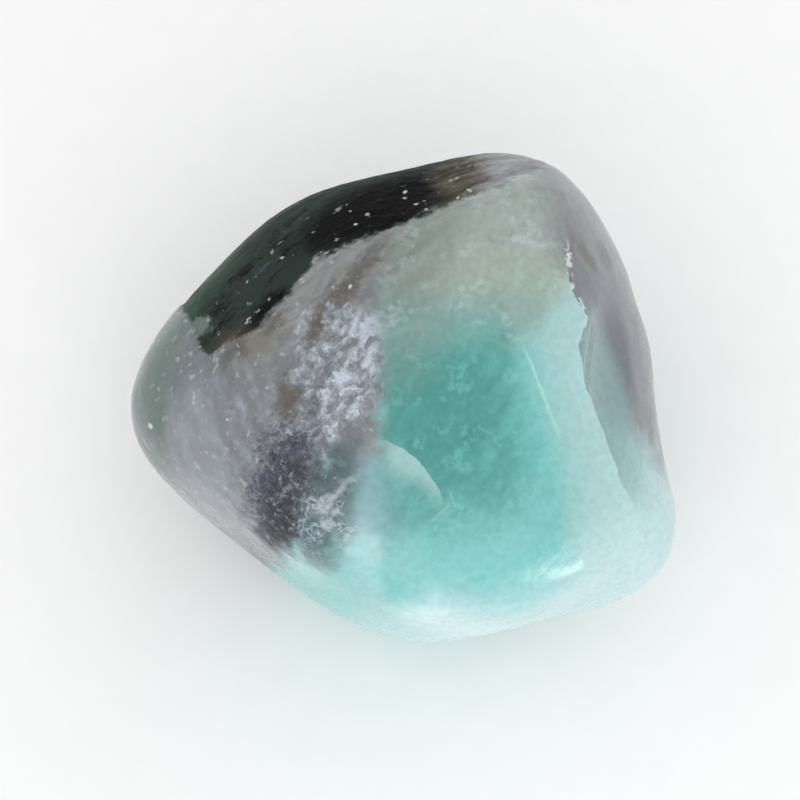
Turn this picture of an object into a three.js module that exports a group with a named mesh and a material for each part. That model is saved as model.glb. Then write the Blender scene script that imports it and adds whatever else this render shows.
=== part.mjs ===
// A tumbled amazonite pebble, about 30 mm across, lying on its own small flat spot.
//
// The stone is one solid. Its form is a rough block whose faces the tumbler has rounded into each other.
// Every worn face is a shallow dome at a stated distance from the stone's heart, the domes are blended into
// one closed skin, broad swells make the skin uneven, and hollows are scooped where the rough lost a flake.
// Units are millimetres, +Z is up, and the origin is the middle of the flat spot that the stone rests on.

import * as THREE from "three";
import { mergeVertices } from "three/addons/utils/BufferGeometryUtils.js";

// Driving dimensions
const HEART_HEIGHT = 10.0; // from the resting spot up to the point that every face is measured from
const HEART = new THREE.Vector3(0.4, -0.3, HEART_HEIGHT);
const RESTING_CUT = 0.35; // how far the flat spot is worn into the underside
const WEAR_SHARPNESS = 18; // higher leaves the edges between the worn faces crisper
const LIP_WIDTH = 0.4; // how wide the lip of a hollow is rounded
const MESH_STEPS = 21; // cuts along each edge of the starting icosahedron

// The worn faces. bearing turns about +Z from +X, rise is the tilt above the horizon, both in degrees,
// reach is the distance from the heart to the face, and dome is the radius that the face is curved to.
const WORN_FACES = [
  { face: "crown", bearing: -88, rise: 69, reach: 11.0, dome: 70 },
  { face: "back shoulder", bearing: 114, rise: 46, reach: 12.7, dome: 90 },
  { face: "left shoulder", bearing: 147, rise: 40, reach: 12.3, dome: 90 },
  { face: "left back", bearing: 142, rise: 0, reach: 12.5, dome: 60 },
  { face: "right wall", bearing: 5, rise: 28, reach: 14.2, dome: 90 },
  { face: "right side", bearing: 20, rise: -2, reach: 14.5, dome: 60 },
  { face: "front right", bearing: -76, rise: -12, reach: 13.8, dome: 50 },
  { face: "front bevel", bearing: -66, rise: 32, reach: 15.3, dome: 45 },
  { face: "front left", bearing: -125, rise: -4, reach: 11.6, dome: 80 },
  { face: "left lobe", bearing: 208, rise: 36, reach: 13.3, dome: 30 },
  { face: "left end", bearing: 172, rise: -4, reach: 16.0, dome: 40 },
  { face: "back", bearing: 103, rise: -4, reach: 11.9, dome: 60 },
  { face: "back right", bearing: 50, rise: 4, reach: 15.5, dome: 40 },
  { face: "under", bearing: 0, rise: -90, reach: 10.0, dome: 24 },
  { face: "under right", bearing: -14, rise: -40, reach: 14.6, dome: 45 },
  { face: "under back", bearing: 84, rise: -46, reach: 12.6, dome: 45 },
  { face: "under left", bearing: 190, rise: -42, reach: 12.8, dome: 45 },
  { face: "under front", bearing: -96, rise: -46, reach: 12.9, dome: 45 },
];

// Hollows left by lost flakes: each is an oval bite of a length, a width and a depth, and turn swings its
// long way round from pointing uphill, in degrees.
const HOLLOWS = [
  { hollow: "right flake", bearing: -4, rise: 35, turn: 80, length: 11.5, width: 4.4, depth: 0.9 },
  { hollow: "back flake", bearing: 66, rise: 6, turn: 40, length: 14, width: 7, depth: 0.6 },
];
const BITE_RADIUS = 5; // how far each bite's oval reaches above its floor, so that its lip slopes gently

// Broad swells and dips of the skin: spread is their width in degrees, and height is in millimetres.
const SWELLS = [
  { swell: "low right corner", bearing: -37, rise: -6, spread: 15, height: 1.1 },
  { swell: "left end", bearing: 170, rise: 2, spread: 24, height: 0.7 },
  { swell: "back waist", bearing: 86, rise: 14, spread: 16, height: -0.6 },
  { swell: "right waist", bearing: -6, rise: -4, spread: 15, height: -0.75 },
  { swell: "frosted shoulder", bearing: 160, rise: 62, spread: 13, height: -0.35 },
  { swell: "mica trough", bearing: 222, rise: 46, spread: 14, height: -0.45 },
  { swell: "front left waist", bearing: -136, rise: -14, spread: 20, height: -0.4 },
  { swell: "underside lump", bearing: 40, rise: -38, spread: 22, height: 0.5 },
  { swell: "underside waist", bearing: 150, rise: -34, spread: 22, height: -0.6 },
];

const radians = THREE.MathUtils.degToRad;

function direction({ bearing, rise }) {
  const level = Math.cos(radians(rise));
  return new THREE.Vector3(
    level * Math.cos(radians(bearing)),
    level * Math.sin(radians(bearing)),
    Math.sin(radians(rise)),
  );
}

const faces = WORN_FACES.map((face) => ({ ...face, normal: direction(face) }));
const swells = SWELLS.map((swell) => ({ ...swell, normal: direction(swell) }));

// Distance along a unit ray from the heart to a ball's far side, for a ball that holds the heart.
function domeRadius(ray, { normal, reach, dome }) {
  const back = dome - reach;
  const lean = ray.dot(normal);
  return Math.sqrt(back * back * (lean * lean - 1) + dome * dome) - back * lean;
}

// The skin of the rounded block with its swells, before any hollow is scooped out.
function blockRadius(ray) {
  let sum = 0;
  for (const face of faces) sum += domeRadius(ray, face) ** -WEAR_SHARPNESS;
  let radius = sum ** (-1 / WEAR_SHARPNESS);
  for (const { normal, spread, height } of swells) {
    const apart = ray.angleTo(normal) / radians(spread);
    radius += height * Math.exp(-apart * apart);
  }
  return radius;
}

// Each bite as the place of its oval's centre and the matrix that turns the oval into a unit ball.
const bites = HOLLOWS.map(({ turn, length, width, depth, ...place }) => {
  const normal = direction(place);
  const centre = normal.clone().multiplyScalar(blockRadius(normal) - depth + BITE_RADIUS);
  const uphill = new THREE.Vector3(0, 0, 1).projectOnPlane(normal).normalize();
  const long = uphill.applyAxisAngle(normal, radians(turn));
  const across = normal.clone().cross(long);
  const cover = Math.sqrt(1 - (1 - depth / BITE_RADIUS) ** 2); // share of the oval that the skin's level cuts
  const toBall = new THREE.Matrix4()
    .makeBasis(long, across, normal)
    .scale(new THREE.Vector3(length / 2 / cover, width / 2 / cover, BITE_RADIUS))
    .invert();
  return { toBall, start: centre.negate().applyMatrix4(toBall) };
});

// Distance along a unit ray from the heart to a bite's near side, or nothing where the ray passes it by.
function biteRadius(ray, { toBall, start }) {
  const step = ray.clone().applyMatrix4(toBall);
  const square = step.lengthSq();
  const half = start.dot(step);
  const inside = half * half - square * (start.lengthSq() - 1);
  if (half >= 0 || inside <= 0) return Infinity;
  return (-half - Math.sqrt(inside)) / square;
}

// The lesser of two distances, with the corner between them rounded over a width.
function softLesser(a, b, width) {
  const near = Math.max(width - Math.abs(a - b), 0) / width;
  return Math.min(a, b) - (near * near * width) / 4;
}

function stoneRadius(ray) {
  let skin = blockRadius(ray);
  for (const bite of bites) skin = softLesser(skin, biteRadius(ray, bite), LIP_WIDTH);
  return skin;
}

function stoneGeometry() {
  const ball = new THREE.IcosahedronGeometry(1, MESH_STEPS);
  ball.deleteAttribute("normal");
  ball.deleteAttribute("uv");
  const skin = mergeVertices(ball);
  const place = skin.getAttribute("position");
  const ray = new THREE.Vector3();
  const point = new THREE.Vector3();
  for (let i = 0; i < place.count; i++) {
    ray.fromBufferAttribute(place, i).normalize();
    point.copy(ray).multiplyScalar(stoneRadius(ray)).add(HEART);
    point.z = Math.max(point.z - RESTING_CUT, 0);
    place.setXYZ(i, point.x, point.y, point.z);
  }
  skin.computeVertexNormals();
  return skin;
}

const stone = new THREE.Mesh(
  stoneGeometry(),
  new THREE.MeshStandardMaterial({ color: 0x7fc4b4, roughness: 0.3, metalness: 0 }),
);
stone.name = "stone";

const amazonite = new THREE.Group();
amazonite.add(stone);

export default amazonite;
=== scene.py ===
"""Dresses a tumbled amazonite stone: its worn skin, its minerals, and a pale table under soft light.

Lengths are metres. A place on the show face is in millimetres: to the right, up the face, and out of the face
towards the eye, all from a point in the stone's heart.
"""

import math
from typing import NamedTuple

import bmesh
import bpy
from mathutils import Matrix, Vector, noise


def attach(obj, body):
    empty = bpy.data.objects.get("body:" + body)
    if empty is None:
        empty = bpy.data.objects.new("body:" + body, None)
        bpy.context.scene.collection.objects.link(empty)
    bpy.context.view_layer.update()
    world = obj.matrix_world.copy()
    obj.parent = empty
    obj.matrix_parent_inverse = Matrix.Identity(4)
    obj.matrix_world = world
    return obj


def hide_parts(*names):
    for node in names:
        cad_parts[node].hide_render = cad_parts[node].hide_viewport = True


bl_info = {
    "name": "Tumbled Amazonite",
    "version": (1, 0, 0),
    "blender": (4, 5, 0),
    "location": "3D View > Sidebar > Amazonite",
    "description": "A tumbled amazonite stone with frosted quartz and dark mica on a pale table",
    "category": "Add Mesh",
}

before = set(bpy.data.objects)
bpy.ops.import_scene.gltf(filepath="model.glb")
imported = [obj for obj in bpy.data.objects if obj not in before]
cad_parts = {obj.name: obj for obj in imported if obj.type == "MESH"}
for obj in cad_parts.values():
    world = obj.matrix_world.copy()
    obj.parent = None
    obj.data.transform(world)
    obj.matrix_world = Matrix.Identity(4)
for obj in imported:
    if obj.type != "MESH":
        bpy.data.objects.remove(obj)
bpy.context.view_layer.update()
STONE_NODE = "stone"
STONE_BODY = "root"

MM = 0.001
HEART = Vector((0.4, -0.3, 10.0)) * MM  # where places on the show face are measured from
FACE_RISE = math.radians(70)  # how far above the horizon the show face looks
FACE_LEAN = FACE_RISE - math.pi / 2  # the turn about X that lays the show face level
TO_FACE = Matrix.Rotation(FACE_LEAN, 4, "X") @ Matrix.Scale(1 / MM, 4) @ Matrix.Translation(-HEART)


class Oval(NamedTuple):
    """An oval lump on the show face, turned on the face by some degrees."""

    centre: tuple
    reach: tuple
    turn: float = 0.0


class Side(NamedTuple):
    """A straight edge on the show face: a point on it, and the way across it."""

    point: tuple
    facing: tuple


# The edge where the face breaks over to the dark shoulder. Rock is shoulder past either of the first two
# sides, but only where it is past both of the others as well.
SHOULDER_SIDES = (
    Side((-6.3, 5.4, 0), (-0.77, 0.64, 0)),
    Side((0.7, 9.75, 0), (-0.38, 0.925, 0)),
    Side((-9.0, 3.2, 0), (-0.46, 0.89, 0)),
    Side((-11.0, 3.2, 0), (0.87, 0.49, 0)),
)
# The edge of the face above the lost flake and the right wall, which lie past both of these sides, and past
# either side of the tongue of face that stands out over them.
FLAKE_SIDES = (
    Side((9.1, 6.5, 0), (0.985, 0.17, 0)),
    Side((10.85, -1.36, 0), (0.935, 0.355, 0)),
)
FLAKE_TONGUE = (
    Side((10.05, 4.5, 0), (0.92, 0.39, 0)),
    Side((10.05, 4.5, 0), (0.973, -0.23, 0)),
)
FLAKE_TOP = 7.2  # above this the wall rounds over into the face, with no edge
FLAKE_FOOT = -6.0  # and the edge has run out below this
FLAKE_LIP = (-0.08, 0.15)  # the wall breaks away between these distances past the edge
FLAKE_STEP_ENDS = (0.8, 5.0)  # its step is full up to the first of these, and gone at the second
FLAKE_WAVES = (1.2, 0.16)  # length and height of the waves in the line of that edge
FRONT_RIDGE = Side((9.0, -9.9, 0), (0.471, -0.882, 0))  # the worn edge between the face and the front
RIDGE_SPAN = (3.0, 7.0, 9.5, 12.0)  # it rises over the first two places across, and falls over the rest
RIDGE_REACH = 0.9  # how far from that edge it still stands out
FROST = Oval((-3.6, 1.3, 10.3), (2.4, 3.7, 4), -8)
MICA = Oval((-6.4, -4.9, 8.8), (1.7, 4.5, 5), -12)
SLATE = Oval((-3.9, -5.4, 9.8), (1.5, 3.9, 5), -8)
SKIN_VALUES = ("crumb", "rough", "past_wall")  # what the skin's mesh hands to its finish

WELD_DISTANCE = 0.001 * MM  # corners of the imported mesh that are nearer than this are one
SMOOTHING = 0.5  # how far each cut of the mesh is rounded
CLOSE_MESH_FLOOR = -1.0  # only the skin that is further out of the show face than this is cut twice
CLOSEST_MESH_FLOOR = 2.0  # and only past this is it cut a third time, where it is crumbly or crisp
ZONE_MARGIN = 0.3  # how far the closest mesh reaches round the crumbly zones
SHOULDER_MARGIN = 0.5  # and to each side of the shoulder's edge
FLAKE_MARGIN = 0.4  # and of the right wall's edge
LEVEL_CRUMB = 0.7  # a crumb of this height lies level with the skin
WEAR_SEED = 7  # sets the ragged outlines of the rough zones, so that every run gives the same stone
PIT_SLOPE = (0.1, 0.04)  # a pinhole's rim and floor are this far from its middle, in shares of the spacing

FELDSPAR_IOR = 1.53
GLOW_SPREAD = (1.0, 1.3, 1.3)  # how far red, green and blue light soak in, in depths of glow
GLOW_WEIGHT = 0.3
COAT_ROUGHNESS = 0.12
PLAIN_SHINE = 0.5  # how strongly the polished rock mirrors
SHOULDER_SHINE = 0.015  # and the dull dark shoulder
TABLE_ROUGHNESS = 0.75

WINDOW_PLACE = Vector((0.26, -0.41, 0.065))
WINDOW_SIZE = (0.1, 0.1)
FILL_PLACE = Vector((-0.05, -0.6, 0.52))
FILL_SIZE = (0.8, 0.5)
CAMERA_NEAREST = 0.01  # what is nearer to the camera isn't drawn


def tint(red, green, blue):
    """A colour as it shows on a screen, from 0 to 255, turned into the light it stands for."""
    shown = [part / 255 for part in (red, green, blue)]
    return tuple(part / 12.92 if part <= 0.04045 else ((part + 0.055) / 1.055) ** 2.4 for part in shown)


def colour_property(name, description, red, green, blue):
    """A colour that the user can change, with its default as it shows on a screen."""
    return bpy.props.FloatVectorProperty(
        name=name,
        description=description,
        default=tint(red, green, blue),
        subtype="COLOR",
        min=0.0,
        max=1.0,
    )


def length_property(name, description, millimetres):
    """A length that the user can change, with its default in millimetres."""
    return bpy.props.FloatProperty(
        name=name,
        description=description,
        default=millimetres * MM,
        min=0.0,
        unit="LENGTH",
        precision=5,
    )


def number_property(name, description, default):
    """A plain number that the user can change."""
    return bpy.props.FloatProperty(name=name, description=description, default=default, min=0.0)


class AmazoniteShape(bpy.types.PropertyGroup):
    """Sizes of the stone's worn skin."""

    wave_height: length_property("Wave height", "Height of the slow waves that tumbling leaves", 0.05)
    wave_length: length_property("Wave length", "Length of the slow waves that tumbling leaves", 5.0)
    crumb_height: length_property("Crumb height", "Height of the crumbs of frosted quartz", 0.16)
    crumb_size: length_property("Crumb size", "Size of the crumbs of frosted quartz", 0.85)
    flake_height: length_property("Flake height", "Height of the loose flakes of dark mica", 0.1)
    flake_size: length_property("Flake size", "Size of the loose flakes of dark mica", 0.55)
    shoulder_step: length_property("Shoulder step", "How far the dark shoulder is worn below the face", 0.15)
    wall_step: length_property("Wall step", "How far the right wall breaks away below the face's edge", 0.3)
    ridge_height: length_property("Ridge height", "How far the edge above the front stands out", 0.35)
    pit_depth: length_property("Pit depth", "Depth of the pinholes in the polished skin", 0.04)
    pit_spacing: length_property("Pit spacing", "Typical distance between pinholes", 3.4)


class AmazoniteColours(bpy.types.PropertyGroup):
    """Colours of the stone's minerals, and how they take the light."""

    teal_deep: colour_property("Deep teal", "Darkest blue-green feldspar", 46, 133, 127)
    teal: colour_property("Teal", "Blue-green feldspar", 79, 162, 155)
    aqua: colour_property("Aqua", "Lighter blue-green feldspar", 116, 193, 190)
    aqua_pale: colour_property("Pale aqua", "Palest feldspar, near the edges", 158, 196, 196)
    # This white serves the feldspar's milky veils, and also the painted sheen on the front edge and the
    # painted highlight along the face's edge above the right wall.
    milk_and_sheen: colour_property("Milk", "White feldspar veils", 204, 226, 230)
    crown_shade: colour_property("Crown shade", "Deeper grey-green bands beside the shoulder", 118, 131, 124)
    # Rim green: partly the deeper green of thick stone, partly painted shade where the left end turns away.
    rim_green_and_shade: colour_property("Rim green", "Deep grey-green where the left end turns away", 74, 98, 87)
    crown_grey: colour_property("Crown grey", "Milky grey-green feldspar at the top", 156, 168, 163)
    olive: colour_property("Olive", "Yellow-green tint in the grey-green feldspar", 154, 173, 149)
    # The quartz tones are set darker to carry painted shade from neighbouring stones.
    quartz_dark: colour_property("Dark quartz", "Deeper lilac-grey quartz", 98, 99, 102)
    quartz: colour_property("Quartz", "Lilac-grey translucent quartz", 115, 119, 123)
    quartz_pale: colour_property("Pale quartz", "Lighter lilac-grey quartz", 145, 152, 160)
    frost: colour_property("Frost", "White crumbs of frosted quartz", 188, 198, 211)
    smoke: colour_property("Smoke", "Grey gaps between the crumbs", 98, 106, 113)
    hollow: colour_property("Hollow", "Blue-grey quartz where the flake is lost", 136, 168, 168)
    haze: colour_property("Haze", "Deep blue-grey feldspar beside the slate", 112, 158, 164)
    slate: colour_property("Slate", "Grey-green quartz beside the mica", 63, 86, 91)
    mica: colour_property("Mica", "Purple-grey mica", 63, 68, 85)
    mica_dark: colour_property("Dark mica", "Darkest mica", 26, 28, 38)
    # Biotite and moss: the shoulder's dark rock, made darker still by painted shadow from a neighbouring
    # stone.
    biotite: colour_property("Biotite", "Near-black biotite on the shoulder", 12, 12, 14)
    moss_and_shadow: colour_property("Moss", "Dark green-grey rock on the shoulder", 47, 57, 53)
    warm_grey: colour_property("Warm grey", "Worn grey rock along the shoulder", 132, 134, 131)
    rust: colour_property("Rust", "Brown stains in the cracks", 78, 70, 58)
    tan: colour_property("Tan", "Pale brown rock beside the stains", 116, 114, 101)
    wall_grey: colour_property("Wall grey", "Lilac-grey quartz of the right wall", 109, 109, 117)
    vein: colour_property("Vein", "Healed cracks", 192, 226, 212)
    sparkle: colour_property("Sparkle", "Small bright specks", 216, 222, 230)
    gloss: number_property("Gloss", "Weight of the polished coat", 0.3)
    depth_of_glow: length_property("Depth of glow", "How far light soaks into the stone", 0.9)


class AmazoniteStage(bpy.types.PropertyGroup):
    """The table, the lights and the camera."""

    table_size: length_property("Table size", "Length of the table's side", 6000)
    table_colour: colour_property("Table colour", "Plain pale table", 251, 251, 251)
    sky_strength: number_property("Sky strength", "Strength of the even light from all round", 0.93)
    window_power: number_property("Window power", "Watts of the small light at the front right", 0.25)
    fill_power: number_property("Fill power", "Watts of the wide soft light at the front", 1.1)
    camera_distance: length_property("Camera distance", "From the camera to the stone", 330)
    view_width: length_property("View width", "Width of what the camera sees at the stone", 44.4)


def fade(value, start, end):
    """0 before start and 1 after end, easing in between. Start may be the larger of the two."""
    share = min(max((value - start) / (end - start), 0.0), 1.0)
    return share * share * (3 - 2 * share)


def inside_oval(place, oval):
    """How deep a place lies inside an oval lump, in millimetres, and less than 0 outside it."""
    local = Matrix.Rotation(-math.radians(oval.turn), 3, "Z") @ (place - Vector(oval.centre))
    share = Vector(part / reach for part, reach in zip(local, oval.reach)).length
    return (1 - share) * min(oval.reach)


def past_side(place, side):
    """How far a place lies past a straight edge, in millimetres."""
    return (place - Vector(side.point)).dot(Vector(side.facing))


def past_shoulder(place):
    """How far a place lies past the edge of the dark shoulder, in millimetres."""
    left, top, low, end = (past_side(place, side) for side in SHOULDER_SIDES)
    return min(max(left, top), low, end)


def past_flake(place):
    """How far a place lies past the edge of the right wall, in millimetres."""
    tongue = max(past_side(place, side) for side in FLAKE_TONGUE)
    return min(tongue, *(past_side(place, side) for side in FLAKE_SIDES))


def crumbs(place):
    """Height of broken grains about one unit across, from about 0 in the gaps to about 1 on the highest."""
    distances, points = noise.voronoi(place)
    own_height = 0.35 * noise.cell(points[0] * 9.7)
    dome = 0.4 * (0.45 - distances[0])
    return 0.5 + own_height + dome


def rough_shares(place):
    """How much of a place is frosted quartz, mica, slate quartz and shoulder, each from 0 to 1."""
    ragged = place + noise.noise_vector(place / 1.6) * 0.8 + noise.noise_vector(place / 0.5) * 0.25
    frost = fade(inside_oval(ragged, FROST), -0.3, 0.6)
    mica = fade(inside_oval(ragged, MICA), -0.3, 0.4)
    slate = fade(inside_oval(ragged, SLATE), -0.3, 0.5)
    shoulder = fade(past_shoulder(ragged), -0.4, 0.6)
    return frost, mica, slate, shoulder


def skin_relief(spot, shape):
    """How far the worn skin stands out at a spot, and the values there that its mesh hands to its finish.

    These are the height of its crumb and its roughness, both from about 0 to about 1, and how far the spot
    lies past the edge of the right wall, in millimetres.
    """
    place = TO_FACE @ spot
    frost, mica, slate, shoulder = rough_shares(place)
    coarse = crumbs(spot / shape.crumb_size)
    fine = crumbs(spot / shape.crumb_size * 2.3 + Vector((3, 5, 7)))
    flake = crumbs(spot / shape.flake_size + Vector((11, 2, 6)))
    crumb = 0.6 * coarse + 0.4 * fine
    grain = crumb + (flake - crumb) * mica
    relief = noise.fractal(spot / shape.wave_length, 1.0, 2.0, 3) * shape.wave_height
    relief += max(frost, slate * 0.3) * (crumb - LEVEL_CRUMB) * shape.crumb_height
    relief += max(mica, shoulder * 0.4) * (flake - LEVEL_CRUMB) * shape.flake_height
    relief -= shoulder * (1 - frost) * shape.shoulder_step
    length, height = FLAKE_WAVES
    wall = past_flake(place) + noise.noise(place / length) * height
    along_edge = fade(place.y, FLAKE_TOP, FLAKE_TOP - 1.5) * fade(place.y, FLAKE_FOOT, FLAKE_FOOT + 2)
    full, gone = FLAKE_STEP_ENDS
    relief -= fade(wall, *FLAKE_LIP) * fade(wall, gone, full) * along_edge * shape.wall_step
    off_ridge = past_side(place, FRONT_RIDGE) / RIDGE_REACH
    left_foot, left_top, right_top, right_foot = RIDGE_SPAN
    along_ridge = fade(place.x, left_foot, left_top) * fade(place.x, right_foot, right_top)
    relief += math.exp(-off_ridge * off_ridge) * along_ridge * shape.ridge_height
    nearest = noise.voronoi(spot / shape.pit_spacing)[0][0]
    relief -= fade(nearest, *PIT_SLOPE) * shape.pit_depth
    return relief, (grain, max(frost, mica, shoulder * 0.6), wall)


def on_show_face(spot):
    """True on the half of the stone that the show face looks from."""
    return (TO_FACE @ spot).z > CLOSE_MESH_FLOOR


def in_fine_zone(spot):
    """True where the skin is crumbly or has a crisp edge, and wants the closest mesh."""
    place = TO_FACE @ spot
    if place.z < CLOSEST_MESH_FLOOR:
        return False
    crumbly = max(inside_oval(place, oval) for oval in (FROST, MICA, SLATE)) > -ZONE_MARGIN
    return crumbly or abs(past_shoulder(place)) < SHOULDER_MARGIN or abs(past_flake(place)) < FLAKE_MARGIN


def make_stone_skin(shape):
    """The stone's own skin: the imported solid's form, subdivided, rounded and given its fine relief."""
    noise.seed_set(WEAR_SEED)
    skin = bmesh.new()
    skin.from_mesh(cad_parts[STONE_NODE].data)
    bmesh.ops.remove_doubles(skin, verts=skin.verts, dist=WELD_DISTANCE)
    for wanted in (lambda spot: True, on_show_face, in_fine_zone):
        chosen = {vert for vert in skin.verts if wanted(vert.co)}
        edges = [edge for edge in skin.edges if chosen.issuperset(edge.verts)]
        bmesh.ops.subdivide_edges(skin, edges=edges, cuts=1, use_grid_fill=True)
        bmesh.ops.smooth_vert(
            skin, verts=skin.verts, factor=SMOOTHING, use_axis_x=True, use_axis_y=True, use_axis_z=True
        )
    bmesh.ops.triangulate(skin, faces=[face for face in skin.faces if len(face.verts) > 3])
    skin.normal_update()
    layers = [skin.verts.layers.float.new(name) for name in SKIN_VALUES]
    moves = []
    for vert in skin.verts:
        relief, values = skin_relief(vert.co, shape)
        moves.append(vert.normal * relief)
        for layer, value in zip(layers, values):
            vert[layer] = value
    for vert, move in zip(skin.verts, moves):
        vert.co += move
        vert.co.z = max(vert.co.z, 0.0)
    for face in skin.faces:
        face.smooth = True
    mesh = bpy.data.meshes.new("stone_skin")
    skin.to_mesh(mesh)
    skin.free()
    return mesh


class Recipe:
    """Lays the nodes of one finish and hands back their output sockets."""

    def __init__(self, name):
        self.material = bpy.data.materials.new(name)
        self.material.use_nodes = True
        self.tree = self.material.node_tree
        self.tree.nodes.clear()

    def feed(self, socket, value):
        """Links a socket to another, or sets it to a number, a colour or a place. None leaves it as it is."""
        if isinstance(value, bpy.types.NodeSocket):
            self.tree.links.new(value, socket)
        elif value is not None:
            socket.default_value = (*value, 1.0) if socket.type == "RGBA" else value

    def node(self, kind, *inputs, **settings):
        """One node, with its inputs given in the order of its sockets."""
        made = self.tree.nodes.new(kind)
        for name, value in settings.items():
            setattr(made, name, value)
        for socket, value in zip(made.inputs, inputs):
            self.feed(socket, value)
        return made

    def math(self, operation, *values):
        """One step of arithmetic on numbers."""
        return self.node("ShaderNodeMath", *values, operation=operation).outputs[0]

    def vector(self, operation, *values):
        """One step of arithmetic on places or colours."""
        made = self.node("ShaderNodeVectorMath", *values, operation=operation)
        return made.outputs["Value" if operation in ("LENGTH", "DOT_PRODUCT") else "Vector"]

    def joined(self, operation, values):
        """Several values taken together, two at a time."""
        whole = values[0]
        for value in values[1:]:
            whole = self.math(operation, whole, value)
        return whole

    def both(self, *masks):
        """Where all of the masks hold, each of them weakening the rest."""
        return self.joined("MULTIPLY", masks)

    def most(self, *values):
        """The largest of several values."""
        return self.joined("MAXIMUM", values)

    def least(self, *values):
        """The smallest of several values."""
        return self.joined("MINIMUM", values)

    def without(self, mask):
        """Where a mask doesn't hold."""
        return self.math("SUBTRACT", 1.0, mask)

    def remap(self, value, start, end, low=0.0, high=1.0):
        """Low where the value is at start and high where it is at end, easing in between."""
        made = self.node("ShaderNodeMapRange", value, start, end, low, high, interpolation_type="SMOOTHSTEP")
        return made.outputs[0]

    def mask(self, depth, edge, cloud=None, reach=0.0):
        """1 where a depth is over 0 and 0 where it is under, with an edge roughened by a cloud."""
        if cloud is not None:
            depth = self.math("ADD", depth, self.math("MULTIPLY_ADD", cloud, 2 * reach, -reach))
        return self.remap(depth, -edge, edge)

    def clouds(self, where, size, detail=2.0, roughness=0.5, bend=0.0):
        """Cloudy noise whose largest clouds are about size across."""
        settings = (where, None, 1 / size, detail, roughness, None, None, None, bend)
        return self.node("ShaderNodeTexNoise", *settings)

    def cloud(self, *settings):
        """One cloud from 0 to 1."""
        return self.clouds(*settings).outputs[0]

    def fitted(self, where, centre, turn, sizes):
        """Places measured from a centre along axes turned by an angle on the face, each in its own size."""
        angle = (0.0, 0.0, math.radians(turn))
        return self.node("ShaderNodeMapping", where, centre, angle, sizes, vector_type="TEXTURE").outputs[0]

    def stretched(self, where, turn, along, across):
        """Places turned by an angle on the face and squeezed, so that a pattern runs in streaks."""
        return self.fitted(where, None, turn, (along, across, 1.0))

    def streaks(self, where, turn, along, across, roughness=0.6, detail=3.0):
        """A cloud drawn out into streaks of a length and a width, turned by an angle on the face."""
        return self.cloud(self.stretched(where, turn, along, across), 1.0, detail, roughness)

    def oval(self, where, centre, reach, turn=0.0):
        """How deep a place lies inside an oval lump, in millimetres."""
        share = self.vector("LENGTH", self.fitted(where, centre, turn, reach))
        small = min(reach)
        return self.math("MULTIPLY_ADD", share, -small, small)

    def side(self, where, point, facing):
        """How far a place lies past a straight edge, in millimetres."""
        facing = Vector(facing).normalized()
        return self.math("SUBTRACT", self.vector("DOT_PRODUCT", where, facing), facing.dot(point))

    def lay(self, under, over, amount):
        """One colour laid over another. The mix node keeps its two colours behind its numbers and places."""
        made = self.node("ShaderNodeMix", amount, data_type="RGBA")
        for socket, value in zip(made.inputs[6:8], (under, over)):
            self.feed(socket, value)
        return made.outputs[2]

    def tones(self, value, *colours, start=0.3, end=0.7):
        """A run of colours, from the first where the value is at start to the last where it is at end."""
        ramp = self.node("ShaderNodeValToRGB", value)
        stops = ramp.color_ramp.elements
        stops.remove(stops[1])
        for step, colour in enumerate(colours):
            position = start + (end - start) * step / (len(colours) - 1)
            stop = stops.new(position) if step else stops[0]
            stop.position = position
            stop.color = (*colour, 1.0)
        return ramp.outputs[0]

    def threads(self, cloud, width):
        """Thin curling lines, where a cloud passes its middle."""
        return self.remap(self.math("ABSOLUTE", self.math("SUBTRACT", cloud, 0.5)), width, 0.0)

    def specks(self, where, spacing, size, share):
        """Small specks a little apart, with only a share of the places holding one."""
        cells = self.node("ShaderNodeTexVoronoi", where, None, 1 / spacing)
        pick = self.node("ShaderNodeSeparateColor", cells.outputs["Color"]).outputs[0]
        near = self.remap(cells.outputs["Distance"], size / spacing, size / spacing * 0.4)
        return self.both(near, self.math("LESS_THAN", pick, share))

    def patches(self, broad, fine, amount):
        """Ragged patches where two clouds are high, each given with where it starts and where it is full."""
        return self.both(self.remap(*broad), self.remap(*fine), amount)

    def finished(self, values):
        """The finish, with the values of its skin given under the names of their sockets."""
        skin = self.node("ShaderNodeBsdfPrincipled")
        for name, value in values.items():
            self.feed(skin.inputs[name], value)
        self.node("ShaderNodeOutputMaterial", skin.outputs[0])
        return self.material


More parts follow.
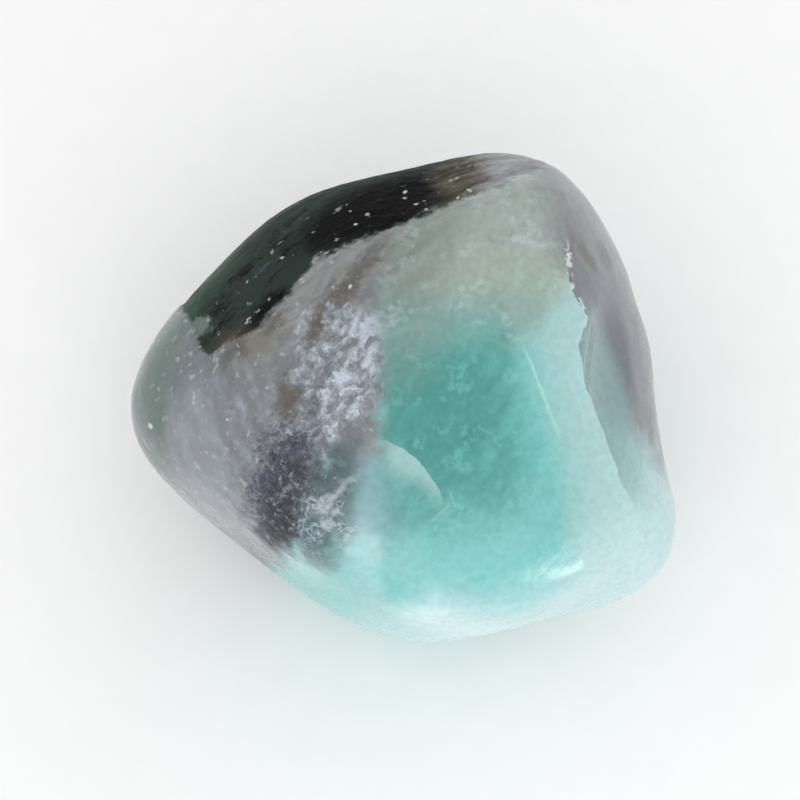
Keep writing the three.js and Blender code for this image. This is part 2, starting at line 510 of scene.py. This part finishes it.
class StoneRecipe(Recipe):
    """A recipe with the clouds that the minerals share, and with places in millimetres on the show face."""

    def __init__(self, name, colours):
        super().__init__(name)
        self.colours = colours
        place = self.node("ShaderNodeTexCoord").outputs["Object"]
        turn = (FACE_LEAN, 0.0, 0.0)
        sizes = (1 / MM,) * 3
        self.here = self.node("ShaderNodeMapping", place, TO_FACE.to_translation(), turn, sizes).outputs[0]
        broad = self.clouds(self.here, 4.0, 3.0).outputs[1]
        mid = self.clouds(self.here, 1.3, 4.0, 0.55).outputs[1]
        fine = self.clouds(self.here, 0.4, 3.0, 0.6).outputs[1]
        self.broad, self.mid, self.fine = (self.split(colour) for colour in (broad, mid, fine))
        self.swirl, self.ripple = mid, fine  # the colours that push places about
        slow = self.clouds(self.here, 6.0, 0.0).outputs[1]
        self.slow = self.split(slow)
        self.calm = self.pushed(self.here, slow, 3.0)
        self.soft = self.pushed(self.here, broad, 2.4)
        self.ragged = self.pushed(self.pushed(self.here, mid, 1.6), fine, 0.5)
        self.crumb, self.rough, self.past_wall = (
            self.node("ShaderNodeAttribute", attribute_name=name).outputs["Fac"] for name in SKIN_VALUES
        )

    def split(self, colour):
        """A cloud's colour as three clouds of their own."""
        return tuple(self.node("ShaderNodeSeparateColor", colour).outputs)

    def pushed(self, where, swirl, reach):
        """Places pushed about by a cloud's colour."""
        middle = self.vector("SUBTRACT", where, (reach / 2,) * 3)
        return self.vector("MULTIPLY_ADD", swirl, (reach,) * 3, middle)


def feldspar_ground(recipe):
    """The blue-green feldspar that most of the stone is made of, with milky veils, and a painted sheen along
    the front edge.
    """
    colours = recipe.colours
    tones = (colours.aqua, colours.aqua_pale, colours.milk_and_sheen)
    ground = recipe.tones(recipe.slow[0], *tones, start=0.36, end=0.72)
    behind = recipe.mask(recipe.side(recipe.soft, (0, 0, 3), (0, 0.3, -1)), 3.0)
    grey = recipe.both(recipe.remap(recipe.broad[1], 0.46, 0.6), behind, 0.6)
    ground = recipe.lay(ground, colours.crown_grey, grey)
    right = recipe.mask(recipe.side(recipe.calm, (6.9, 0.9, 0), (0.95, 0.2, 0)), 1.4)
    ground = recipe.lay(ground, colours.aqua_pale, recipe.both(right, 0.95))
    left = recipe.mask(recipe.side(recipe.here, (-2, -9.5, 4), (-0.5, -0.5, -0.3)), 2.5)
    corner = recipe.mask(recipe.oval(recipe.calm, (-2.6, -8.6, 8), (4.6, 3.2, 6)), 1.5)
    blue = recipe.most(recipe.both(left, 0.75), recipe.both(corner, 0.6))
    ground = recipe.lay(ground, colours.aqua, blue)
    top = recipe.mask(recipe.side(recipe.calm, (7, 11.6, 6), (0.3, 0.95, 0)), 1.0)
    ground = recipe.lay(ground, colours.quartz, recipe.both(top, 0.9))
    # Pale band along the front edge: partly milky feldspar, partly painted sheen.
    front = recipe.mask(recipe.side(recipe.calm, (2, -11.0, 8), (0.42, -0.89, -0.2)), 2.0)
    return recipe.lay(ground, colours.milk_and_sheen, recipe.both(front, 0.48))


def milky_crown(recipe, under):
    """The grey-green top of the face, with its yellow-green tint and the soft bands beside the shoulder."""
    colours = recipe.colours
    top = recipe.most(
        recipe.oval(recipe.soft, (3.4, 9.4, 9.5), (9.5, 7.2, 6)),
        recipe.oval(recipe.soft, (0.2, 4.2, 9.9), (3.6, 3.4, 5)),
    )
    strip = recipe.mask(recipe.side(recipe.soft, (8.0, 5.0, 0), (0.8, -0.6, 0)), 1.0)
    top = recipe.both(recipe.mask(top, 1.2, recipe.mid[0], 0.8), recipe.without(strip))
    left = recipe.mask(recipe.side(recipe.soft, (2.8, 8, 0), (-1, 0.3, 0)), 2.4)
    bands = recipe.streaks(recipe.soft, 34, 5.0, 0.9, 0.5)
    shade = recipe.tones(bands, colours.crown_shade, colours.crown_grey, start=0.4, end=1.0)
    grey = recipe.lay(colours.crown_grey, shade, left)
    low = recipe.mask(recipe.side(recipe.soft, (2, 5.4, 0), (0.1, -1, 0)), 2.0)
    grey = recipe.lay(grey, colours.teal, recipe.both(low, 0.4))
    dim = recipe.patches((recipe.mid[2], 0.44, 0.64), (recipe.fine[0], 0.35, 0.65), 0.4)
    grey = recipe.lay(grey, colours.crown_shade, dim)
    light = recipe.patches((recipe.mid[0], 0.5, 0.66), (recipe.fine[1], 0.35, 0.65), 0.25)
    grey = recipe.lay(grey, colours.milk_and_sheen, light)
    under = recipe.lay(under, grey, top)
    tinge = recipe.mask(recipe.oval(recipe.soft, (6.0, 6.7, 9.9), (3.2, 1.5, 4), -6), 1.1)
    return recipe.lay(under, colours.olive, recipe.both(tinge, 0.38))


def teal_heart(recipe, under):
    """The saturated blue-green patch in the middle of the face, paler to the right and towards the front."""
    colours = recipe.colours
    body = recipe.both(
        recipe.mask(recipe.side(recipe.here, (-1.1, 0, 0), (1, 0, 0)), 0.6, recipe.mid[2], 0.7),
        recipe.mask(recipe.side(recipe.soft, (4, 4.0, 0), (0.08, -1, 0)), 2.1, recipe.mid[0], 0.8),
        recipe.mask(recipe.side(recipe.soft, (-0.4, 2.6, 0), (0.5, -0.86, 0)), 2.0, recipe.mid[1], 0.8),
        recipe.mask(recipe.side(recipe.soft, (8.3, 0, 0), (-1, -0.12, 0)), 2.0, recipe.mid[0], 0.6),
        recipe.mask(recipe.side(recipe.soft, (7.1, 0.9, 0), (-0.93, -0.37, 0)), 1.5, recipe.mid[1], 0.5),
        recipe.mask(recipe.side(recipe.soft, (3, -10.6, 0), (-0.15, 1, 0)), 1.5, recipe.mid[1], 0.6),
    )
    grain = recipe.streaks(recipe.here, 50, 1.6, 0.7, 0.65, 5.0)
    teal = recipe.tones(grain, colours.teal_deep, colours.teal, colours.aqua, start=0.2, end=0.9)
    core = recipe.mask(recipe.oval(recipe.soft, (1.6, -0.8, 10.5), (3.6, 3.6, 5)), 1.8)
    teal = recipe.lay(teal, colours.teal_deep, recipe.both(core, 0.5))
    mottled = recipe.patches((recipe.mid[1], 0.48, 0.62), (recipe.fine[2], 0.4, 0.6), 0.4)
    teal = recipe.lay(teal, colours.teal_deep, mottled)
    flecked = recipe.patches((recipe.mid[0], 0.5, 0.64), (recipe.fine[1], 0.4, 0.6), 0.4)
    teal = recipe.lay(teal, colours.aqua, flecked)
    pale = recipe.most(
        recipe.mask(recipe.side(recipe.soft, (4, -6.8, 10), (0.2, -1, 0)), 2.2),
        recipe.both(recipe.mask(recipe.side(recipe.soft, (6.9, 0, 0), (1, -0.1, 0)), 1.8), 0.8),
    )
    teal = recipe.lay(teal, colours.aqua, recipe.both(pale, 0.9))
    mist = recipe.mask(recipe.oval(recipe.soft, (-0.6, 3.2, 10), (3.4, 2.8, 4), 20), 1.6)
    teal = recipe.lay(teal, colours.crown_shade, recipe.both(mist, 0.35))
    under = recipe.lay(under, teal, body)
    veil = recipe.mask(recipe.oval(recipe.soft, (-1.2, -8.2, 10), (2.4, 1.7, 4), -20), 1.1)
    return recipe.lay(under, colours.milk_and_sheen, recipe.both(veil, 0.12))


def pale_wedge(recipe, under):
    """The pale cleavage below the heart: crisp along its curved upper edge, and fading away from it."""
    colours = recipe.colours
    haze = recipe.mask(recipe.oval(recipe.soft, (-2.1, -4.9, 10), (1.7, 2.4, 4), 20), 1.0)
    under = recipe.lay(under, colours.haze, recipe.both(haze, 0.8))
    bent = recipe.pushed(recipe.here, recipe.swirl, 0.4)
    disc = recipe.remap(recipe.oval(bent, (-2.5, -6.9, 10), (5.05, 5.05, 60)), 0.0, 0.1)
    upper = recipe.remap(recipe.side(recipe.soft, (0.2, -4.0, 10), (0.49, 0.87, 0)), -1.0, 0.8)
    left = recipe.remap(recipe.side(recipe.soft, (-1.2, -3, 10), (1, 0, 0)), -0.8, 0.8)
    return recipe.lay(under, colours.aqua_pale, recipe.both(disc, upper, left, 0.85))


def grey_quartz_and_shade(recipe, under):
    """The lilac-grey quartz that makes up the left of the face and the left end, with painted shade from
    neighbouring stones in its darker tones and over the lobe's upper side.
    """
    colours = recipe.colours
    upper = recipe.side(recipe.ragged, (-1.15, -2.6, 0), (-1, 0, 0))
    lower = recipe.side(recipe.soft, (-2.7, -4.2, 0), (-0.77, 0.64, 0))
    left = recipe.mask(recipe.least(upper, lower), 0.8, recipe.mid[1], 0.5)
    streaks = recipe.streaks(recipe.soft, -58, 2.6, 0.9, 0.5)
    quartz = recipe.tones(
        streaks, colours.quartz_dark, colours.quartz, colours.quartz_pale, start=0.2, end=0.82
    )
    under = recipe.lay(under, quartz, left)
    lobe = recipe.mask(recipe.oval(recipe.soft, (-11.4, -3.2, 4.5), (3.0, 5.0, 9), 12), 1.6)
    pale = recipe.tones(streaks, colours.quartz, colours.quartz_pale, start=0.15, end=0.75)
    under = recipe.lay(under, pale, recipe.both(lobe, left, 0.8))
    dots = recipe.patches((recipe.mid[0], 0.4, 0.6), (recipe.fine[2], 0.52, 0.64), left)
    under = recipe.lay(under, colours.frost, recipe.both(dots, 0.18))
    # Painted shade: slate laid over the upper side of the left lobe.
    top = recipe.mask(recipe.side(recipe.soft, (-10.5, 1.2, 0), (-0.5, 0.87, 0)), 1.4)
    return recipe.lay(under, colours.slate, recipe.both(top, left, 0.55)), left


def warm_band(recipe, under):
    """The worn grey rock between the shoulder and the frosted quartz."""
    colours = recipe.colours
    band = recipe.mask(recipe.oval(recipe.soft, (-4.3, 6.2, 9.6), (5.6, 1.9, 4), 42), 0.8, recipe.mid[0], 0.8)
    bands = recipe.streaks(recipe.soft, 44, 3.0, 0.6)
    tones = (colours.quartz_dark, colours.warm_grey, colours.quartz_pale)
    grey = recipe.tones(bands, *tones, start=0.32, end=0.7)
    return recipe.lay(under, grey, recipe.both(band, 0.85))


def brown_stains(recipe, under):
    """The brown streaks and spots in the grey rock of the left side."""
    colours = recipe.colours
    pale = recipe.mask(recipe.oval(recipe.ragged, (-7.7, 2.9, 9), (0.9, 0.9, 3)), 0.4)
    under = recipe.lay(under, colours.tan, recipe.both(pale, 0.8))
    streaks = (
        Oval((-2.7, 6.2, 10), (2.3, 0.42, 3), 50),
        Oval((-4.6, 3.9, 10), (1.4, 0.3, 3), 62),
        Oval((-6.8, 4.2, 9), (0.9, 0.4, 3), 48),
        Oval((-9.0, 2.6, 8.6), (1.1, 0.4, 3), 42),
        Oval((-6.0, 0.25, 10), (0.42, 1.0, 3), 4),
        Oval((-5.95, 0.1, 10), (0.5, 0.9, 3), 4),
    )
    for streak in streaks:
        stain = recipe.mask(recipe.oval(recipe.ragged, *streak), 0.35, recipe.fine[1], 0.5)
        under = recipe.lay(under, colours.rust, recipe.both(stain, 0.85))
    return under


def slate_quartz(recipe, under):
    """The grey-green quartz between the mica and the aqua, with pale threads and a long splinter."""
    colours = recipe.colours
    zone = recipe.mask(recipe.oval(recipe.ragged, *SLATE), 0.7, recipe.mid[0], 1.1)
    slate = recipe.tones(recipe.mid[2], colours.slate, colours.slate, colours.haze, start=0.34, end=0.82)
    under = recipe.lay(under, slate, recipe.both(zone, 0.9))
    near = recipe.mask(recipe.oval(recipe.ragged, (-3.7, -6.9, 10), (1.7, 2.0, 4)), 0.7)
    milky = recipe.patches((recipe.mid[1], 0.5, 0.62), (recipe.fine[0], 0.4, 0.6), near)
    under = recipe.lay(under, colours.frost, recipe.both(milky, 0.6))
    threads = recipe.both(recipe.threads(recipe.fine[1], 0.07), recipe.remap(recipe.mid[0], 0.5, 0.6))
    under = recipe.lay(under, colours.frost, recipe.both(threads, near, 0.65))
    splinter = recipe.mask(recipe.oval(recipe.ragged, (-3.5, -5.2, 10), (1.3, 0.2, 3), 40), 0.25)
    return recipe.lay(under, colours.frost, recipe.both(splinter, 0.6))


def frosted_quartz(recipe, under):
    """The granular white crumbs in the middle of the left side, with dark gaps."""
    colours = recipe.colours
    zone = recipe.mask(recipe.oval(recipe.ragged, *FROST), 0.7, recipe.mid[2], 1.3)
    strokes = recipe.streaks(recipe.ragged, 48, 0.8, 0.36, 0.65)
    grain = recipe.math("MULTIPLY_ADD", recipe.mid[0], 0.3, recipe.both(strokes, 0.5))
    grain = recipe.math("MULTIPLY_ADD", recipe.crumb, 0.2, grain)
    crumbs_tone = recipe.tones(
        grain, colours.smoke, colours.quartz, colours.quartz_pale, colours.frost, start=0.345, end=0.585
    )
    under = recipe.lay(under, crumbs_tone, recipe.both(zone, 0.95))
    clumps = recipe.most(
        recipe.oval(recipe.ragged, (-2.1, 3.4, 10.4), (1.5, 0.9, 3), 30),
        recipe.oval(recipe.ragged, (-3.4, 4.9, 10.4), (1.2, 0.45, 3), 40),
        recipe.oval(recipe.ragged, (-3.8, 1.0, 10.4), (1.0, 0.9, 3)),
    )
    bright = recipe.both(recipe.mask(clumps, 0.5), recipe.remap(grain, 0.46, 0.6))
    under = recipe.lay(under, colours.frost, recipe.both(bright, 0.55))
    threads = recipe.both(recipe.threads(recipe.fine[2], 0.06), recipe.remap(recipe.mid[1], 0.45, 0.55), zone)
    return recipe.lay(under, colours.smoke, recipe.both(threads, 0.3))


def dark_mica(recipe, under):
    """The purple-grey mica at the lower left: dark and bright threads, darkest near the face's edge."""
    colours = recipe.colours
    torn = recipe.pushed(recipe.ragged, recipe.ripple, 2.2)
    zone = recipe.mask(recipe.oval(torn, *MICA), 0.8, recipe.mid[1], 1.4)
    grain = recipe.math("MULTIPLY_ADD", recipe.mid[2], 0.45, recipe.both(recipe.fine[2], 0.55))
    mica = recipe.tones(
        grain, colours.mica_dark, colours.mica, colours.mica, colours.quartz, start=0.38, end=0.62
    )
    dark = recipe.threads(recipe.fine[0], 0.06)
    mica = recipe.lay(mica, colours.mica_dark, recipe.both(dark, 0.85))
    bright = recipe.both(recipe.threads(recipe.fine[1], 0.04), recipe.remap(recipe.mid[0], 0.45, 0.54), 0.85)
    mica = recipe.lay(mica, colours.quartz_pale, bright)
    under = recipe.lay(under, mica, recipe.both(zone, 0.95))
    core = recipe.mask(recipe.oval(recipe.ragged, (-6.4, -6.0, 7.7), (0.9, 3.0, 4), -14), 0.5)
    deep = recipe.both(core, recipe.remap(grain, 0.62, 0.48), 0.95)
    return recipe.lay(under, colours.mica_dark, deep), zone


def right_wall(recipe, under):
    """The lilac-grey quartz of the right wall, with brown streaks near its top and a blue-grey hollow, and a
    painted highlight along the face's edge above it.
    """
    colours = recipe.colours
    crisp = recipe.remap(recipe.past_wall, -0.05, 0.14)
    round_over = recipe.remap(recipe.side(recipe.soft, *FLAKE_SIDES[0]), -1.6, 1.6)
    top = recipe.mask(recipe.side(recipe.here, (9, FLAKE_TOP, 0), (0, 1, 0)), 0.9)
    face_edge = recipe.math("MULTIPLY_ADD", top, recipe.math("SUBTRACT", round_over, crisp), crisp)
    above = recipe.mask(recipe.side(recipe.soft, (12.3, -1.6, 0), (0.7, 0.7, 0)), 1.1, recipe.mid[1], 0.8)
    deep = recipe.mask(recipe.side(recipe.soft, (0, 0, -5), (0, 0.2, 1)), 2.5, recipe.mid[0], 1.5)
    streaks = recipe.streaks(recipe.soft, -66, 4.0, 1.1, 0.55)
    grey = recipe.tones(
        streaks, colours.quartz_dark, colours.wall_grey, colours.wall_grey, colours.quartz_pale,
        start=0.28, end=0.85,
    )
    high = recipe.mask(recipe.side(recipe.soft, (11, 7.5, 5), (0, 1, 0)), 1.6)
    brown = recipe.both(recipe.remap(streaks, 0.5, 0.4), high, 0.5)
    bent = recipe.pushed(recipe.here, recipe.swirl, 0.5)
    cracks = (
        Oval((10.2, 7.7, 6.5), (0.9, 0.27, 6), -57),
        Oval((11.1, 7.9, 5.5), (0.9, 0.3, 6), -66),
    )
    for crack in cracks:
        brown = recipe.most(brown, recipe.both(recipe.mask(recipe.oval(bent, *crack), 0.1), 0.85))
    grey = recipe.lay(grey, colours.rust, brown)
    under = recipe.lay(under, grey, recipe.both(face_edge, above, deep, 0.92))
    scoop = recipe.mask(recipe.oval(recipe.here, (11.0, 0.2, 7), (1.3, 5.2, 5), 17), 0.5)
    under = recipe.lay(under, colours.hollow, recipe.both(face_edge, scoop, 0.8))
    # Painted highlight: a pale line along the face's edge just before the wall breaks away.
    lip = recipe.both(recipe.remap(recipe.past_wall, -1.8, -0.1), recipe.without(face_edge))
    low = recipe.mask(recipe.side(recipe.here, (10, 6.6, 0), (0, -1, 0)), 0.6)
    return recipe.lay(under, colours.milk_and_sheen, recipe.both(lip, low, 0.16))


def dark_shoulder_and_shadow(recipe, under):
    """The biotite-rich rock over the shoulder, near black along its upper run and brown at its lower end. Its
    darkness is partly painted shadow cast by a neighbouring stone.
    """
    colours = recipe.colours
    bent = recipe.pushed(recipe.here, recipe.swirl, 0.8)
    left, top, low, end = (recipe.side(bent, *side) for side in SHOULDER_SIDES)
    past = recipe.least(recipe.most(left, top), low, end)
    zone = recipe.mask(past, 0.22, recipe.fine[0], 0.3)
    grain = recipe.streaks(recipe.ragged, 42, 2.4, 0.8)
    rock = recipe.tones(
        grain, colours.biotite, colours.moss_and_shadow, colours.moss_and_shadow, colours.slate, start=0.3, end=0.82
    )
    # Near-black band along the upper run: dark biotite, deepened by painted shadow from a neighbouring stone.
    band = recipe.mask(recipe.oval(recipe.ragged, (-1.2, 10.7, 7.2), (5.0, 1.9, 5), 24), 0.7)
    rock = recipe.lay(rock, colours.biotite, band)
    crack = recipe.mask(recipe.oval(recipe.ragged, (-7.5, 4.6, 8), (1.5, 0.35, 4), 48), 0.25)
    rock = recipe.lay(rock, colours.biotite, recipe.both(crack, 0.9))
    stain = recipe.mask(recipe.oval(recipe.ragged, (-9.4, 3.0, 8), (1.5, 0.6, 4), 40), 0.4)
    rock = recipe.lay(rock, colours.rust, recipe.both(stain, 0.7))
    patch = recipe.mask(recipe.oval(recipe.ragged, (-11.1, 4.1, 5), (0.8, 0.5, 4)), 0.15)
    rock = recipe.lay(rock, colours.crown_shade, recipe.both(patch, 0.8))
    corner = recipe.mask(recipe.side(recipe.soft, (4.8, 11.4, 7), (1, -0.1, 0)), 1.4, recipe.mid[1], 1.6)
    brown = recipe.mask(recipe.side(recipe.soft, (2.2, 11.4, 7), (1, -0.1, 0)), 1.0, recipe.mid[2], 1.2)
    streaks = recipe.streaks(recipe.soft, 24, 3.0, 0.7)
    warm = recipe.tones(streaks, colours.moss_and_shadow, colours.rust, colours.tan, start=0.3, end=0.62)
    rock = recipe.lay(rock, warm, recipe.both(brown, 0.9))
    tones = (colours.quartz_dark, colours.quartz, colours.quartz_pale)
    grey = recipe.tones(streaks, *tones, start=0.28, end=0.66)
    rock = recipe.lay(rock, grey, corner)
    deep = recipe.mask(recipe.side(recipe.soft, (0, 0, -2), (0, 0, 1)), 3.5, recipe.mid[1], 2.5)
    zone = recipe.both(zone, deep)
    return recipe.lay(under, rock, zone), recipe.both(zone, recipe.without(corner))


def left_rim_and_shade(recipe, under):
    """The dark green turn of the left end: partly the deeper green of thick stone, partly painted shade where
    the end turns away.
    """
    colours = recipe.colours
    away = recipe.mask(recipe.side(recipe.soft, (-12.6, 0, 4.6), (-0.66, 0.1, -0.74)), 1.6)
    above = recipe.mask(recipe.side(recipe.soft, (-12, -4.5, 0), (-0.1, 1, 0)), 2.0)
    cloudy = recipe.remap(recipe.broad[2], 0.35, 0.62, 0.85, 0.45)
    return recipe.lay(under, colours.rim_green_and_shade, recipe.both(away, above, cloudy))


def hair_veins(recipe, under):
    """The healed cracks that show as thin pale lines."""
    colours = recipe.colours
    bent = recipe.pushed(recipe.here, recipe.swirl, 0.25)
    veins = (
        (Side((7.45, 0.9, 0), (0.93, 0.37, 0)), Oval((7.6, 0.5, 10), (2.2, 4.0, 6)), 0.15, 0.42),
        (Side((2.3, -6.0, 0), (-0.62, 0.78, 0)), Oval((2.2, -6.1, 10), (1.1, 0.9, 6)), 0.1, 0.22),
        (Side((2.9, -5.5, 0), (-0.9, -0.4, 0)), Oval((2.9, -5.3, 10), (0.6, 0.7, 6)), 0.09, 0.2),
    )
    for side, where, width, strength in veins:
        sheet = recipe.remap(recipe.math("ABSOLUTE", recipe.side(bent, *side)), width, 0.0)
        inner = recipe.remap(recipe.oval(recipe.here, *where), 0.0, min(where.reach) * 0.6)
        under = recipe.lay(under, colours.vein, recipe.both(sheet, inner, strength))
    return under


def bright_specks(recipe, under, left, shoulder):
    """Bright specks in the grey quartz, in clusters on the shoulder and along the lip of the right wall."""
    colours = recipe.colours
    facing = recipe.remap(recipe.vector("DOT_PRODUCT", recipe.here, (0, 0, 1)), 3.5, 6.0)
    clusters = recipe.both(shoulder, facing, recipe.remap(recipe.mid[2], 0.47, 0.55))
    grey = recipe.both(left, recipe.without(shoulder))
    fine = recipe.specks(recipe.ragged, 0.6, 0.2, 0.36)
    fine = recipe.both(fine, recipe.most(recipe.both(grey, 0.36), recipe.both(clusters, 0.8)))
    streaklets = recipe.specks(recipe.stretched(recipe.ragged, -62, 2.4, 1.0), 1.0, 0.2, 0.3)
    streaklets = recipe.both(streaklets, grey, recipe.remap(recipe.mid[0], 0.4, 0.5))
    coarse = recipe.specks(recipe.soft, 1.4, 0.2, 0.34)
    coarse = recipe.both(coarse, recipe.most(grey, recipe.both(shoulder, facing)))
    lip = recipe.remap(recipe.math("ABSOLUTE", recipe.math("SUBTRACT", recipe.past_wall, 0.16)), 0.26, 0.1)
    upper = recipe.mask(recipe.oval(recipe.here, (9.4, 5.9, 9), (1.5, 2.6, 5)), 0.3)
    chain = recipe.both(lip, upper, recipe.remap(recipe.fine[0], 0.5, 0.56))
    specks = recipe.most(fine, recipe.both(streaklets, 0.45), coarse, chain)
    return recipe.lay(under, colours.sparkle, recipe.both(specks, 0.8))


def stone_finish(colours):
    """The whole stone's finish."""
    recipe = StoneRecipe("amazonite_polished", colours)
    colour = feldspar_ground(recipe)
    colour = milky_crown(recipe, colour)
    colour = teal_heart(recipe, colour)
    colour = pale_wedge(recipe, colour)
    colour, left = grey_quartz_and_shade(recipe, colour)
    colour = warm_band(recipe, colour)
    colour = slate_quartz(recipe, colour)
    colour = frosted_quartz(recipe, colour)
    colour, mica = dark_mica(recipe, colour)
    colour = brown_stains(recipe, colour)
    colour = right_wall(recipe, colour)
    colour, shoulder = dark_shoulder_and_shadow(recipe, colour)
    colour = left_rim_and_shade(recipe, colour)
    colour = hair_veins(recipe, colour)
    colour = bright_specks(recipe, colour, left, shoulder)
    mottle = recipe.remap(recipe.fine[1], 0.3, 0.7, 0.94, 1.06)
    colour = recipe.vector("MULTIPLY", colour, mottle)
    clear = recipe.without(recipe.most(shoulder, recipe.both(mica, 0.7)))
    satin = recipe.remap(recipe.mid[1], 0.3, 0.7, 0.2, 0.32)
    scratches = recipe.streaks(recipe.here, 48, 1.4, 0.35)
    ridge = recipe.mask(recipe.oval(recipe.here, (8.8, -9.2, 8), (3.0, 2.0, 4)), 1.0)
    grain = recipe.both(recipe.fine[0], recipe.remap(recipe.rough, 0.0, 1.0, 0.001, 0.1))
    height = recipe.math("ADD", recipe.both(scratches, ridge, 0.03), grain)
    values = {
        "Base Color": colour,
        "IOR": FELDSPAR_IOR,
        "Roughness": recipe.math("ADD", satin, recipe.both(recipe.rough, 0.25)),
        "Specular IOR Level": recipe.remap(shoulder, 0.0, 1.0, PLAIN_SHINE, SHOULDER_SHINE),
        "Subsurface Weight": recipe.both(clear, GLOW_WEIGHT),
        "Subsurface Radius": GLOW_SPREAD,
        "Subsurface Scale": colours.depth_of_glow,
        "Coat Weight": recipe.both(clear, colours.gloss),
        "Coat Roughness": COAT_ROUGHNESS,
        "Normal": recipe.node("ShaderNodeBump", 1.0, MM, None, height).outputs[0],
    }
    return recipe.finished(values)


def table_finish(colour):
    """Plain pale table top, with a faint grain."""
    recipe = Recipe("table_pale")
    place = recipe.node("ShaderNodeTexCoord").outputs["Object"]
    shade = recipe.remap(recipe.cloud(place, 0.002, 3.0), 0.3, 0.7, 0.985, 1.0)
    grained = recipe.vector("MULTIPLY", shade, colour)
    return recipe.finished({"Base Color": grained, "Roughness": TABLE_ROUGHNESS})


def add_object(name, data):
    """A new object in the scene, at the origin."""
    made = bpy.data.objects.new(name, data)
    bpy.context.scene.collection.objects.link(made)
    return made


def add_area_light(name, place, size, power):
    """A soft light that faces the stone."""
    light = bpy.data.lights.new(name, "AREA")
    light.shape = "RECTANGLE"
    light.size, light.size_y = size
    light.energy = power
    lamp = add_object(name, light)
    lamp.location = place
    lamp.rotation_euler = (HEART - place).to_track_quat("-Z", "Y").to_euler()


class AMAZONITE_OT_stone(bpy.types.Operator):
    """Makes the tumbled stone in place of its plain solid"""

    bl_idname = "amazonite.stone"
    bl_label = "Make the stone"

    def execute(self, context):
        scene = context.scene
        stone = add_object("tumbled_stone", make_stone_skin(scene.amazonite_shape))
        stone.data.materials.append(stone_finish(scene.amazonite_colours))
        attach(stone, STONE_BODY)
        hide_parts(STONE_NODE)
        return {"FINISHED"}


class AMAZONITE_OT_stage(bpy.types.Operator):
    """Makes the pale table, the soft lights and the camera"""

    bl_idname = "amazonite.stage"
    bl_label = "Make the stage"

    def execute(self, context):
        scene = context.scene
        stage = scene.amazonite_stage
        top = bmesh.new()
        bmesh.ops.create_grid(top, x_segments=1, y_segments=1, size=stage.table_size / 2)
        mesh = bpy.data.meshes.new("table")
        top.to_mesh(mesh)
        top.free()
        table = add_object("table", mesh)
        table.data.materials.append(table_finish(stage.table_colour))
        world = bpy.data.worlds.new("studio")
        world.use_nodes = True
        sky = world.node_tree.nodes["Background"]
        sky.inputs["Color"].default_value = (1.0, 1.0, 1.0, 1.0)
        sky.inputs["Strength"].default_value = stage.sky_strength
        scene.world = world
        scene.view_settings.view_transform = "Standard"
        add_area_light("window", WINDOW_PLACE, WINDOW_SIZE, stage.window_power)
        add_area_light("fill", FILL_PLACE, FILL_SIZE, stage.fill_power)
        camera = add_object("camera", bpy.data.cameras.new("camera"))
        back = Vector((0.0, -math.cos(FACE_RISE), math.sin(FACE_RISE)))
        camera.location = HEART + back * stage.camera_distance
        camera.rotation_euler = (-back).to_track_quat("-Z", "Y").to_euler()
        camera.data.lens = camera.data.sensor_width * stage.camera_distance / stage.view_width
        camera.data.clip_start = CAMERA_NEAREST
        scene.camera = camera
        return {"FINISHED"}


class AMAZONITE_PT_panel(bpy.types.Panel):
    """Buttons and values of the tumbled amazonite"""

    bl_idname = "AMAZONITE_PT_panel"
    bl_label = "Tumbled Amazonite"
    bl_space_type = "VIEW_3D"
    bl_region_type = "UI"
    bl_category = "Amazonite"

    def draw(self, context):
        layout = self.layout
        scene = context.scene
        layout.operator(AMAZONITE_OT_stone.bl_idname)
        layout.operator(AMAZONITE_OT_stage.bl_idname)
        for group in (scene.amazonite_shape, scene.amazonite_colours, scene.amazonite_stage):
            box = layout.box()
            for name in group.__annotations__:
                box.prop(group, name)


CLASSES = (
    AmazoniteShape,
    AmazoniteColours,
    AmazoniteStage,
    AMAZONITE_OT_stone,
    AMAZONITE_OT_stage,
    AMAZONITE_PT_panel,
)


def register():
    """Adds the classes, and the values that the scene keeps for them."""
    for one in CLASSES:
        bpy.utils.register_class(one)
    bpy.types.Scene.amazonite_shape = bpy.props.PointerProperty(type=AmazoniteShape)
    bpy.types.Scene.amazonite_colours = bpy.props.PointerProperty(type=AmazoniteColours)
    bpy.types.Scene.amazonite_stage = bpy.props.PointerProperty(type=AmazoniteStage)


def unregister():
    """Takes away what register added."""
    del bpy.types.Scene.amazonite_stage
    del bpy.types.Scene.amazonite_colours
    del bpy.types.Scene.amazonite_shape
    for one in reversed(CLASSES):
        bpy.utils.unregister_class(one)


def main():
    """Makes the stone and its stage."""
    register()
    bpy.ops.amazonite.stone()
    bpy.ops.amazonite.stage()


if __name__ == "__main__":
    main()
